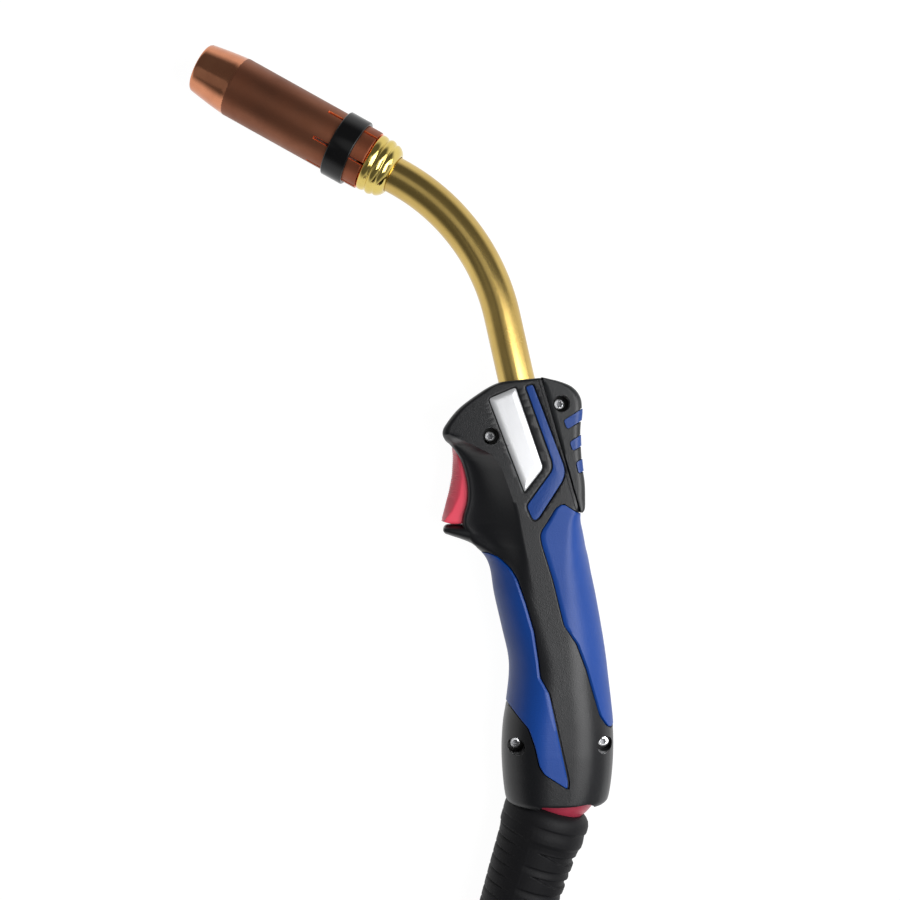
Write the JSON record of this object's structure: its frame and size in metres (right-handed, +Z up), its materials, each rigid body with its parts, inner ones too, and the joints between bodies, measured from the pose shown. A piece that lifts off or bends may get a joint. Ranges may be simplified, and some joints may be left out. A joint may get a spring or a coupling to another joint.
{
  "type": "mig welding torch",
  "caption": "MIG welding torch: bent brass neck with a push-on gas nozzle, soft-grip handle with a sprung trigger, ball joint, and a coiled cable with a central plug.",
  "frame": {"origin": "centre of the underside of the torch as it lies on its right side, measured without the cable, its bend sleeve, its coil and its plug", "axes": "+Y along the handle towards the neck, +X towards the back of the handle, away from the trigger, +Z up, out of the left side of the torch"},
  "size_m": [0.3465, 0.6735, 0.0506],
  "materials": {
    "shell_plastic": "matte moulded plastic with a fine spark-eroded grain",
    "grip_rubber": "soft matte overmoulded rubber",
    "blue_trim": "matte moulded plastic, blue",
    "plate_metal": "bare satin aluminium plate",
    "steel": "bright steel",
    "tube_brass": "drawn brass tube, lightly tarnished",
    "fitting_brass": "turned brass, polished",
    "copper": null,
    "nozzle_copper": null,
    "band_black": "glossy black high-temperature plastic",
    "insulator": "heat-resistant moulding compound",
    "trigger_red": "satin red moulded plastic",
    "ball_red": "dark red moulded plastic",
    "switch_black": "moulded switch case",
    "sleeve_rubber": "matte black moulded rubber",
    "hose_rubber": "matte black hose",
    "strap": "woven hook and loop tape",
    "connector_plastic": "matte moulded plastic",
    "inner_black": "cable sheath"
  },
  "bodies": {
    "cable": {"bend_sleeve": "sleeve_rubber", "hose": "hose_rubber", "hose_coil": "hose_rubber", "hose_tail": "hose_rubber", "coil_strap": "strap", "connector_sleeve": "sleeve_rubber", "connector_housing": "connector_plastic", "connector_plug": "fitting_brass", "connector_contacts": "fitting_brass"},
    "nut": {"connector_nut": "connector_plastic"},
    "ball": {"ball_joint": "ball_red"},
    "trigger": {"trigger": "trigger_red"},
    "plunger": {"switch_plunger": "trigger_red"},
    "nozzle": {"gas_nozzle": "nozzle_copper", "nozzle_band": "band_black"},
    "handle": {"handle_shell_left": "shell_plastic", "handle_shell_right": "shell_plastic", "rear_cover": "shell_plastic", "nameplate": "plate_metal", "front_grip_left": "grip_rubber", "front_grip_right": "grip_rubber", "back_grip_left": "grip_rubber", "back_grip_right": "grip_rubber", "chevron_strip_left": "blue_trim", "chevron_strip_right": "blue_trim", "cover_stripes": "blue_trim", "housing_screws": "steel", "neck_tube": "tube_brass", "inner_tube": "copper", "wire_liner": "steel", "neck_socket": "steel", "cable_coupling": "fitting_brass", "inner_cable": "inner_black", "nozzle_fitting": "fitting_brass", "nozzle_insulator": "insulator", "gas_diffuser": "fitting_brass", "tip_holder": "copper", "contact_tip": "copper", "trigger_pin": "steel", "switch_housing": "switch_black"}
  },
  "joints": [
    {"name": "nut_turn", "type": "hinge", "parent": "cable", "child": "nut", "pos_m": [0.23915, -0.21278, 0.0212], "axis": [0, 1, 0], "continuous": true},
    {"name": "hose_swivel", "type": "hinge", "parent": "cable", "child": "ball", "pos_m": [0.06395, -0.13438, 0.0195], "axis": [0.3074, 0.9516, 0], "range_deg": [0, 90]},
    {"name": "ball_tilt", "type": "hinge", "parent": "ball", "child": "handle", "pos_m": [0.06395, -0.13438, 0.0195], "axis": [0, 0, 1], "range_deg": [-35, 0]},
    {"name": "trigger_pull", "type": "hinge", "parent": "handle", "child": "trigger", "pos_m": [0.02485, 0.00102, 0.0195], "axis": [0, 0, 1], "range_deg": [0, 5], "stiffness_Nm_per_rad": 1.5, "springref_deg": -2.86},
    {"name": "plunger_slide", "type": "slide", "parent": "handle", "child": "plunger", "axis": [1, 0, 0], "range_m": [0, 0.0013]},
    {"name": "nozzle_pull", "type": "slide", "parent": "handle", "child": "nozzle", "axis": [-0.8733, 0.4871, 0], "range_m": [0, 0.078]}
  ],
  "couplings": [
    {"joint": "plunger_slide", "follows": "trigger_pull", "m_per_rad": 0.0148}
  ]
}
